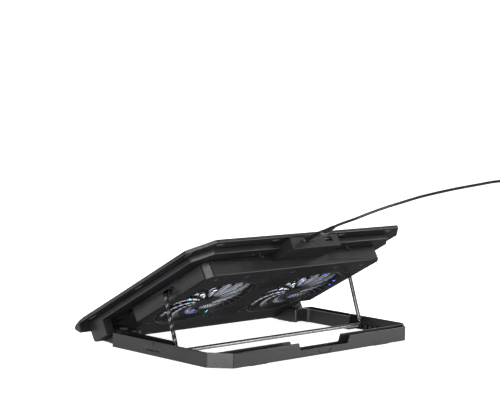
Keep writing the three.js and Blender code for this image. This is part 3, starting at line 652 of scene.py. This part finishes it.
def make_deck_mesh():
    """The deck's sheet, with rows of round holes inside a plain border."""
    x1, y0, y1, low, high = 147.7, 38.3, 191.7, 14.8, 16.4
    pitch_x, pitch_y, radius, sides = 5.2, 4.5, 1.75, 8
    border = 4
    columns = int((2 * x1 - 2 * border) / pitch_x)
    rows = int((y1 - y0 - 2 * border) / pitch_y)
    left, front = -columns * pitch_x / 2, (y0 + y1 - rows * pitch_y) / 2
    form = Form()
    for row in range(rows):
        shift = 0.7 * pitch_x / 4 * (1 if row % 2 else -1)
        for column in range(columns):
            cell_x, cell_y = left + column * pitch_x, front + row * pitch_y
            cx, cy = cell_x + pitch_x / 2 + shift, cell_y + pitch_y / 2
            ring, edge = [], []
            for k in range(sides):
                a = math.pi / 4 + 2 * math.pi * k / sides
                ring.append((cx + radius * math.cos(a), cy + radius * math.sin(a)))
                across = 1 if math.cos(a) > 0.1 else 0 if math.cos(a) < -0.1 else 0.5
                along = 1 if math.sin(a) > 0.1 else 0 if math.sin(a) < -0.1 else 0.5
                edge.append((cell_x + across * pitch_x, cell_y + along * pitch_y))
            points = [(*q, z) for z in (high, low) for q in edge + ring]
            faces = []
            for k in range(sides):
                n = (k + 1) % sides
                faces.append((k, n, sides + n, sides + k))
                faces.append((2 * sides + n, 2 * sides + k, 3 * sides + k, 3 * sides + n))
                faces.append((sides + k, sides + n, 3 * sides + n, 3 * sides + k))
            form.add(points, faces)
    right, back = -left, front + rows * pitch_y
    form.block(-x1, left, y0, y1, low, high)
    form.block(right, x1, y0, y1, low, high)
    form.block(left, right, y0, front, low, high)
    form.block(left, right, back, y1, low, high)
    new_piece("deck_mesh_sheet", form.mesh("deck_mesh_sheet", TRAY), "mesh_metal", "tray", "deck_mesh_panel")


# ---- Fans ----
FAN_X, FAN_Y = 77.4, 94.6
FANS = {"right": (FAN_X, FAN_Y, 0), "left": (-FAN_X, FAN_Y, 0)}
LAMPS = {"right": (44, 64), "left": (46, 24)}  # bearings, in degrees
LUG_RING = 66.0
GUARD_LOW, GUARD_HIGH = -10.8, -9.0
GUARD_RADIUS = 61.7
SLATS = 36
SLAT_WIDTH = 0.9
SLAT_SWEEP = 26  # degrees, from the disc to the ring
SLAT_START, SLAT_REACH = 11, GUARD_RADIUS - 13
HUB, ROOT, TIP = 17.0, 10.5, 58.2
BLADES = 11
BLADE_SWEEP = math.radians(-42)  # from root to tip, growing as the square of the way out


def around(radius, degrees):
    """x and y of a place on a circle."""
    a = math.radians(degrees)
    return radius * math.cos(a), radius * math.sin(a)


def make_guard(side):
    """The round grille: curved slats between a ribbed disc and a stepped ring, with four lugs."""
    low, high, outer = GUARD_LOW, GUARD_HIGH, GUARD_RADIUS
    form = Form(FANS[side])
    for inner in (0.4, 3.4, 6.4, 9.4):
        form.lathe([(inner, low + 0.5), (inner + 0.3, low), (inner + 1.5, low), (inner + 1.8, low + 0.5),
                    (inner + 1.8, low + 1), (inner, low + 1)])
    form.lathe([(0.1, low + 0.8), (11.2, low + 0.8), (11.2, high), (0.1, high)])
    form.lathe([(outer - 3.2, low + 0.5), (outer - 2.9, low), (outer - 0.3, low), (outer, low + 0.3),
                (outer, high), (outer - 3.2, high)], 96)
    steps = 12
    for i in range(SLATS):
        path = []
        for k in range(steps + 1):
            t = k / steps
            path.append(around(SLAT_START + SLAT_REACH * t, 360 * i / SLATS + SLAT_SWEEP * t))
        form.bar(path, SLAT_WIDTH, low + 0.1, low + 0.6)
    lug = [(3.3, low + 0.3), (3.5, low), (5.7, low), (6.0, low + 0.3), (6.0, high), (3.3, high)]
    for i in range(4):
        form.lathe(lug, 28, *around(LUG_RING, 45 + 90 * i))
    for degrees in LAMPS[side]:  # a frame round each lamp
        form.block(42.1, 43.1, -3.9, 3.9, low, high, degrees)
        form.block(46.9, 47.9, -3.9, 3.9, low, high, degrees)
        form.block(43.1, 46.9, -3.9, -2.8, low, high, degrees)
        form.block(43.1, 46.9, 2.8, 3.9, low, high, degrees)
    mesh = form.mesh(f"fan_grille_{side}", TRAY)
    new_piece(f"fan_grille_{side}", mesh, "black_plastic", "tray", f"fan_guard_{side}")


GLINTS = {  # look, radius and bearing in degrees of each painted glint
    "right": (("cyan_glint", 45, 24), ("cyan_glint", 46, -133), ("blue_glint", 38, 96),
              ("blue_glint", 24, -92), ("blue_glint", 30, -84), ("blue_glint", 47, 8)),
    "left": (("blue_glint", 46, 25), ("blue_glint", 40, 60), ("blue_glint", 56, 152),
             ("blue_glint", 58, 168), ("blue_glint", 36, 12), ("blue_glint", 52, 96),
             ("blue_glint", 20, -120)),
}
GLINT_SIZES = {"cyan_glint": (2.6, 1.7), "blue_glint": (2.2, 0.9)}  # half length and width


def make_glints(side):
    """Short glowing slivers on the guard, along the slats, with the lamps' light painted on them as glints.
    """
    forms = {}
    for look, radius, bearing in GLINTS[side]:
        form = forms.setdefault(look, Form(FANS[side]))
        half, wide = GLINT_SIZES[look]
        turn = SLAT_SWEEP / round(SLAT_REACH)  # degrees to a millimetre, as the slats run
        path = [around(radius + half * k, bearing + turn * half * k) for k in (-1, 0, 1)]
        form.bar(path, wide, GUARD_LOW + 0.05, GUARD_LOW + 0.7)
    for look, form in forms.items():
        piece = new_piece(f"{look}_{side}", form.mesh(f"{look}_{side}", TRAY), "led_lens", "tray")
        piece.data.materials[0] = MATERIALS[look]


def make_vents():
    """Black ribs in the slots between the two grilles: ribs like those the vents show, and black as painted
    shade in the slots behind them.
    """
    slot_radius, slot_end, pitch, half_width = 64.6, 58, 2.1, 0.75
    form = Form()
    for side in (-1, 1):
        for k in range(-10, 11):
            x = pitch * k
            reach = FAN_X - abs(x)
            near = math.sqrt(max(0.0, slot_radius**2 - reach**2)) + 1
            if near < slot_end - 1:
                y0, y1 = sorted((FAN_Y + side * near, FAN_Y + side * slot_end))
                form.block(x - half_width, x + half_width, y0, y1, GUARD_LOW + 0.01, GUARD_LOW + 0.5)
    new_piece("vent_shade_ribs", form.mesh("vent_shade_ribs", TRAY), "black_plastic", "tray", smooth=0)


def make_rotor(side):
    """The hub, and the curved blades with their place along and across each blade kept for the finish."""
    body, node = f"rotor_{side}", f"fan_rotor_{side}"
    hub = Form(FANS[side])
    hub.lathe([(0.1, -7.6), (10.5, -7.6), (HUB - 2, -6.9), (HUB, -5.9), (HUB, 3.2), (15.0, 3.2), (15.0, -5.2),
               (0.1, -5.2)], 64)
    new_piece(f"fan_hub_{side}", hub.mesh(f"fan_hub_{side}", TRAY), "black_plastic", body, node)
    blades = Form(FANS[side])
    steps, chords = 16, 8
    for i in range(BLADES):
        points, marks = [], []
        for upper in (False, True):
            for k in range(steps + 1):
                t = k / steps
                radius = ROOT + t * (TIP - ROOT)
                half = math.radians(10.5 + 2 * t) * (1 - 0.25 * t)  # half the blade's width, as an angle
                for c in range(chords + 1):
                    v = 2 * c / chords - 1
                    turn = half * v
                    a = BLADE_SWEEP * t * t + turn + math.radians(12) + 2 * math.pi * i / BLADES
                    thick = 0.9 * (1 - v * v) ** 0.5 * (1 - 0.5 * t)
                    z = -7.2 + 1.4 * min(1, 3 * t) * (1 - 3 * turn) + (thick / 2 if upper else -thick / 2)
                    points.append((radius * math.cos(a), radius * math.sin(a), z))
                    marks.append((t, 0.5 + 0.5 * v + 1.7 * i, 0.5 + 0.5 * v))
        wide = chords + 1
        under = (steps + 1) * wide
        faces = []
        for k in range(steps):
            for c in range(chords):
                q = k * wide + c
                faces.append((q, q + wide, q + wide + 1, q + 1))
                faces.append((under + q, under + q + 1, under + q + wide + 1, under + q + wide))
        tip = steps * wide
        for c in range(chords):
            faces.append((c, c + 1, under + c + 1, under + c))
            faces.append((tip + c + 1, tip + c, under + tip + c, under + tip + c + 1))
        blades.add(points, faces, marks)
    mesh = blades.mesh(f"fan_blades_{side}", TRAY, "blade")
    new_piece(f"fan_blades_{side}", mesh, "blade_plastic", body, node, smooth=60)


def make_fan(side):
    """One whole fan, with its lamps and screws."""
    make_guard(side)
    make_rotor(side)
    refined(f"fan_frame_{side}", 0.25)
    make_glints(side)
    for i in range(1, 5):
        refined(f"fan_screw_{side}_{i}", 0.2, look="black_plastic")
    for end in "ab":
        refined(f"fan_led_{side}_{end}", 0.3)


# ---- Bail ----
def make_bail():
    """The wire, with round bends, one even tube from end to end."""
    pivot_y, pivot_z, arm, leg, tip = 121.0, -1.1, 68.0, 160.5, 147.9
    crossbar_height, bend, end_bend = 9, 7, 4.5
    height = HINGE.z / MM + pivot_y * math.sin(TILT) + pivot_z * math.cos(TILT)
    angle = -math.asin((height - crossbar_height) / arm) - TILT

    def at(x, d):
        return TRAY @ (Vector((x, pivot_y + d * math.cos(angle), pivot_z + d * math.sin(angle))) * MM)

    def turned(a, corner, b, steps=10):
        a, corner, b = Vector(a), Vector(corner), Vector(b)
        ts = [i / steps for i in range(steps + 1)]
        return [(1 - t) ** 2 * a + 2 * t * (1 - t) * corner + t * t * b for t in ts]

    half = [Vector((0, arm)), *[Vector((x, arm)) for x in range(10, 150, 10)]]
    half += turned((leg - bend, arm), (leg, arm), (leg, arm - bend))
    half += [Vector((leg, d)) for d in range(60, 5, -1)]
    half += turned((leg, end_bend), (leg, 0), (leg - end_bend, 0)) + [Vector((tip, 0))]
    plan = [Vector((-q.x, q.y)) for q in reversed(half[1:])] + half
    path = [at(q.x, q.y) for q in plan]
    sides = 32
    mesh = tube_mesh("bail_wire_round", path, 2.5 * MM, sides)
    leg_from = 155  # the finish takes the wire beyond this x as its right leg
    # painted reflection: bands round the tube, two on the crossbar and four wound along the right leg, stand
    # in for the light the plated wire reflects
    marks = []
    for i, q in enumerate(plan):
        sheen_bands, wound = (4, math.pi * q.y / 16) if q.x > leg_from else (2, 0.0)
        for k in range(sides):
            out = mesh.vertices[i * sides + k].co - path[i]
            turn = math.atan2(out.z, out.x + out.y) + wound
            marks += [0.5 + 0.5 * math.cos(sheen_bands * turn), 0.0, 0.0]
    mesh.attributes.new("wire", "FLOAT_VECTOR", "POINT").data.foreach_set("vector", marks)
    new_piece("bail_wire_round", mesh, "bail_wire", "bail", "wire_bail", smooth=45)


# ---- Plugs and ports ----
PORT_MOUTH = (221.0, 8.8)  # y and z from the hinge
PORTS = {"right": 13.0, "left": -23.6}


def rounded_section(half_x, half_z, corner, steps=4):
    """A rounded rectangle in x and z."""
    points = []
    for start, u, v in ((0, 1, 1), (90, -1, 1), (180, -1, -1), (270, 1, -1)):
        for i in range(steps + 1):
            a = math.radians(start + 90 * i / steps)
            points.append((u * (half_x - corner) + corner * math.cos(a),
                           v * (half_z - corner) + corner * math.sin(a)))
    return points


def loft(form, stations):
    """A closed form through rounded rectangles: y, half width, half height and corner of each."""
    points = []
    for y, half_x, half_z, corner in stations:
        points += [(x, y, z) for x, z in rounded_section(half_x, half_z, corner)]
    form.add(points, skin(len(stations), len(points) // len(stations)))


def make_plug(node, leant, straight, body):
    """Overmoulded plug: metal tip, tapered grip with ribs, steel collar and ribbed strain relief."""
    grip = Form()
    loft(grip, [(1.0, 6.0, 2.5, 0.8), (1.4, 6.5, 2.9, 1.2), (3.2, 6.6, 3.0, 1.4), (9, 6.5, 2.95, 1.4),
                (15, 6.2, 2.8, 1.4), (21, 6.0, 2.75, 1.5), (24.0, 5.7, 2.65, 1.5), (24.6, 5.3, 2.4, 1.5)])
    rib = ((0, 2.9), (0.25, 3.0), (0.65, 3.0), (0.9, 2.9))
    for k in range(5):
        y = 12.5 + 1.7 * k
        loft(grip, [(y + step, 5.2, half_z, 1.0) for step, half_z in rib])
    collar = Form()
    loft(collar, [(24.4, 5.0, 2.5, 1.5), (24.8, 5.4, 2.75, 1.6),
                  (27.4, 5.0, 2.65, 1.6), (27.9, 4.4, 2.4, 1.6)])
    relief = Form()
    stations = [(27.6, 2.7, 2.5, 2.3)]
    for k in range(6):
        y = 28.0 + 2.25 * k
        r = 2.75 - 0.09 * k
        neck = r - 0.5
        stations += [(y, neck, neck, 1.7), (y + 0.1, r, r, 2.0),
                     (y + 1.3, r, r, 2.0), (y + 1.4, neck, neck, 1.7)]
    stations += [(41.6, 2.0, 2.0, 1.95), (42.0, 1.9, 1.9, 1.85)]
    loft(relief, stations)
    tip = Form()
    tip.block(-6, 6, -11.6, 1.5, -2.25, -1.95)
    tip.block(-6, 6, -11.6, 1.5, 2.3, 2.6)
    tip.block(-6, -5.7, -11.6, 1.5, -2.25, 2.6)
    tip.block(5.7, 6, -11.6, 1.5, -2.25, 2.6)
    tip.block(-5.6, 5.6, -11.3, 1.5, -1.95, 0.4)
    pieces = []
    for name, form, slot in (("grip", grip, "cord_jacket"), ("collar", collar, "bright_steel"),
                             ("relief", relief, "black_plastic"), ("tip", tip, "bright_steel")):
        label = f"{node}_{name}"
        mesh = form.mesh(label, straight if name == "tip" else leant)
        piece = new_piece(label, mesh, slot, body, node, smooth=40)
        if name == "collar":
            piece.data.materials[0] = MATERIALS["port_steel"]
        pieces.append(piece)
    return pieces


def plug_places():
    """Where the grip and the tip of each plug are, and the body it rides on."""
    y, z = PORT_MOUTH
    mouth = TRAY @ Matrix.Translation(Vector((PORTS["right"], y, z)) * MM)
    lean = Matrix.Rotation(math.radians(2), 4, "Z") @ Matrix.Rotation(math.radians(-3), 4, "X")
    far = Matrix.Translation(Vector((-229.75, 281, 4.7)) * MM) @ Matrix.Rotation(math.pi, 4, "Z")
    return {"usb_plug_near": (mouth @ lean, mouth, "tray"), "usb_plug_far": (far, far, "base")}


def make_ports():
    """The two ports, with four contacts on the tongue of each."""
    for side in ("left", "right"):
        refined(f"usb_port_{side}", 0.12, 1, look="port_steel")
        contacts = Form((PORTS[side], *PORT_MOUTH))
        for k in range(4):
            x = -3.75 + 2.5 * k
            contacts.block(x - 0.5, x + 0.5, -12, -3.3, 0.62, 0.72)
        name = f"usb_contacts_{side}"
        new_piece(name, contacts.mesh(name, TRAY), "motor_copper", "tray", smooth=0)


def make_hooks():
    """Two small hooks under the back of the rim, for the lead."""
    for side, x in (("right", 76.0), ("left", -76.0)):
        form = Form((x, 0, 0))
        form.block(-0.8, 0.8, 198.6, 200.2, -1.4, 8.3)
        form.block(-0.8, 0.8, 200.2, 203.4, -1.4, 0.1)
        form.block(-0.8, 0.8, 202.0, 203.4, 0.1, 1.8)
        name = f"lead_hook_{side}"
        new_piece(name, form.mesh(name, TRAY), "black_plastic", "tray", smooth=0)


def make_coil_tie():
    """A strap round the coiled lead."""
    form = Form((COIL_CENTRE.x, COIL_CENTRE.y - COIL_RADIUS, 0))
    out, low, high = 2.2, 0.06, 12.4
    form.block(-4, 4, -out - 0.15, -out + 0.25, low, high)
    form.block(-4, 4, out - 0.25, out + 0.15, low, high)
    form.block(-4, 4, -out, out, low, low + 0.3)
    form.block(-4, 4, -out, out, high - 0.4, high)
    new_piece("coil_tie", form.mesh("coil_tie"), "black_rubber", "base", smooth=0)


# ---- Light and floor ----
LIGHTS = (  # name, place, aim, size, watts
    ("key", (2.1, 2.1, 0.34), (0, 0, 0.08), (0.8, 0.6), 105),
    ("rim", (-1.45, 1.35, 0.25), (0, 0.1, 0.03), (0.9, 0.4), 14),
    ("high", (1.65, 1.3, 1.5), (0, 0, 0.1), (0.5, 0.5), 20),
    ("back", (-1.7, 1.0, 1.3), (0, 0.1, 0.1), (0.8, 0.8), 3),
    ("top", (0.3, -0.9, 2.2), (0, 0, 0.1), (1.6, 0.8), 24),
)


def area_light(name, spot, aim, size, power):
    data = bpy.data.lights.new(name, "AREA")
    data.shape = "RECTANGLE"
    data.size, data.size_y = size
    data.energy = power
    light = bpy.data.objects.new(name, data)
    light.location = spot
    light.rotation_euler = (Vector(aim) - Vector(spot)).to_track_quat("-Z", "Y").to_euler()
    bpy.context.scene.collection.objects.link(light)


def make_world():
    """A studio that is white behind the pad and dimmer all round."""
    world = bpy.data.worlds.new("studio")
    bpy.context.scene.world = world
    world.use_nodes = True
    tree = world.node_tree
    place = tree.nodes.new("ShaderNodeTexCoord")
    facing = tree.nodes.new("ShaderNodeVectorMath")
    facing.operation = "DOT_PRODUCT"
    facing.inputs[1].default_value = AHEAD
    tree.links.new(place.outputs["Generated"], facing.inputs[0])
    white = tree.nodes.new("ShaderNodeMapRange")
    white.interpolation_type = "SMOOTHSTEP"
    for key, value in (("From Min", 0.3), ("From Max", 0.9), ("To Min", 0.24), ("To Max", 1.04)):
        white.inputs[key].default_value = value
    tree.links.new(facing.outputs["Value"], white.inputs["Value"])
    background = tree.nodes["Background"]
    background.inputs["Color"].default_value = (1, 1, 1, 1)
    tree.links.new(white.outputs["Result"], background.inputs["Strength"])


def make_stage():
    """A wide pale floor with an even glow of its own, and the lamps."""
    m = Nodes("floor")
    m.link(m.ramp(m.noise(3), (0.88, 0.88, 0.88), (0.91, 0.91, 0.91)), m.shader.inputs["Base Color"])
    m.shader.inputs["Emission Strength"].default_value = 0.88
    m.shader.inputs["Roughness"].default_value = 0.8
    m.shader.inputs["Specular IOR Level"].default_value = 0.1
    m.shader.inputs["Emission Color"].default_value = (1, 1, 1, 1)
    reach = 12.0
    points = [(-reach, -reach, 0), (reach, -reach, 0), (reach, reach, 0), (-reach, reach, 0)]
    floor = bpy.data.objects.new("floor", mesh_from("floor", points, [(0, 1, 2, 3)]))
    floor.data.materials.append(m.material)
    bpy.context.scene.collection.objects.link(floor)
    bpy.context.scene.view_settings.view_transform = "Standard"
    for row in LIGHTS:
        area_light(*row)


SLOTS = {part["node"]: part["material_slot"] for part in frame["record"]["subparts"]}
make_camera()
MATERIALS = make_materials()
for node_name, node in frame["nodes"].items():
    node.data.materials.clear()
    node.data.materials.append(MATERIALS[SLOTS[node_name]])
make_cord()
make_base()
make_tray_shells()
make_deck_mesh()
for fan_side in FANS:
    make_fan(fan_side)
make_bail()
make_ports()
make_hooks()
make_vents()
make_coil_tie()
make_world()
make_stage()

bpy.context.view_layer.update()
